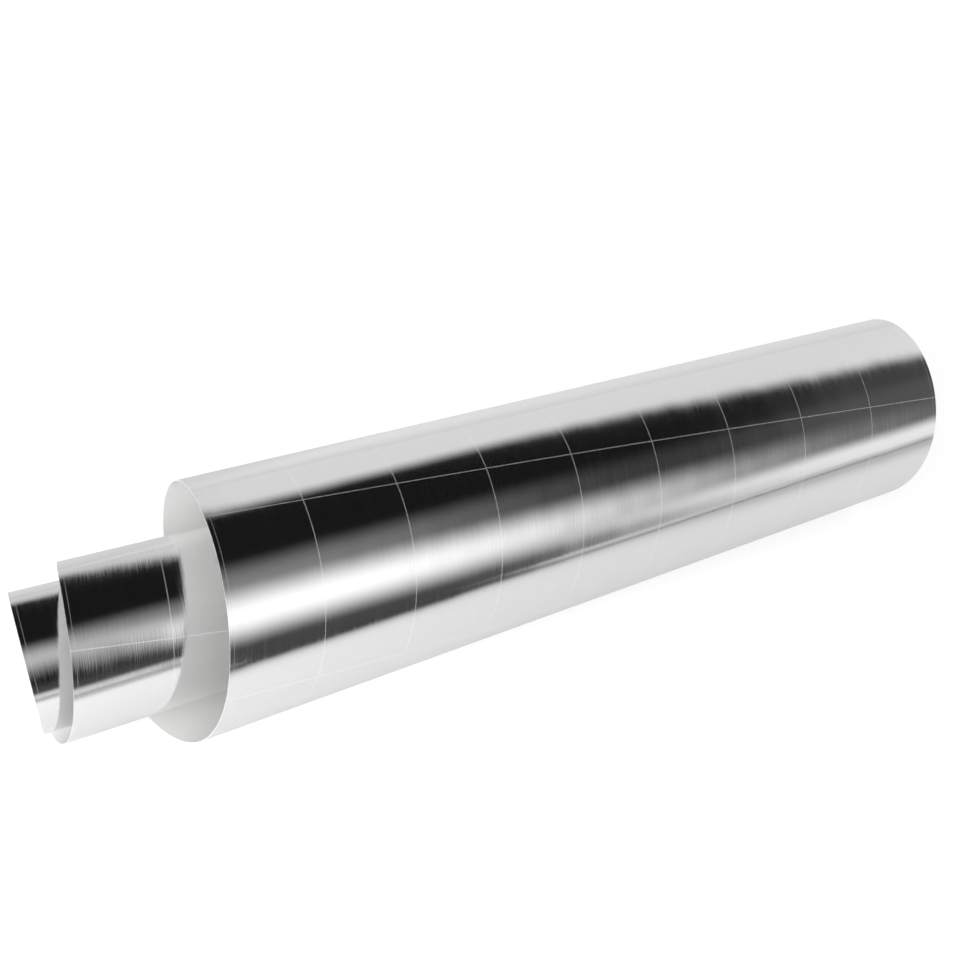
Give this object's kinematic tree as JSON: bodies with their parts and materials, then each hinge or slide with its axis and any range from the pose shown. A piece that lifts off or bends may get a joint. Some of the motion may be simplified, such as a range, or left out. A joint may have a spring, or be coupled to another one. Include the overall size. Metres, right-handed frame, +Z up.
{
  "type": "roll of foil-backed parchment",
  "caption": "Sheet of foil-backed baking parchment curled into a loose, tapered roll, with its inner turns slid out at the left end.",
  "frame": {"origin": "centre of the footprint, on the surface that the roll lies on", "axes": "+X along the roll, from the end with the slid-out inner turns to the narrow end; +Z up"},
  "size_m": [0.3704, 0.0886, 0.0841],
  "materials": {
    "foil_backed_parchment": "bright foil outside, white parchment inside"
  },
  "bodies": {
    "root": {"rolled_sheet": "foil_backed_parchment"}
  },
  "joints": []
}
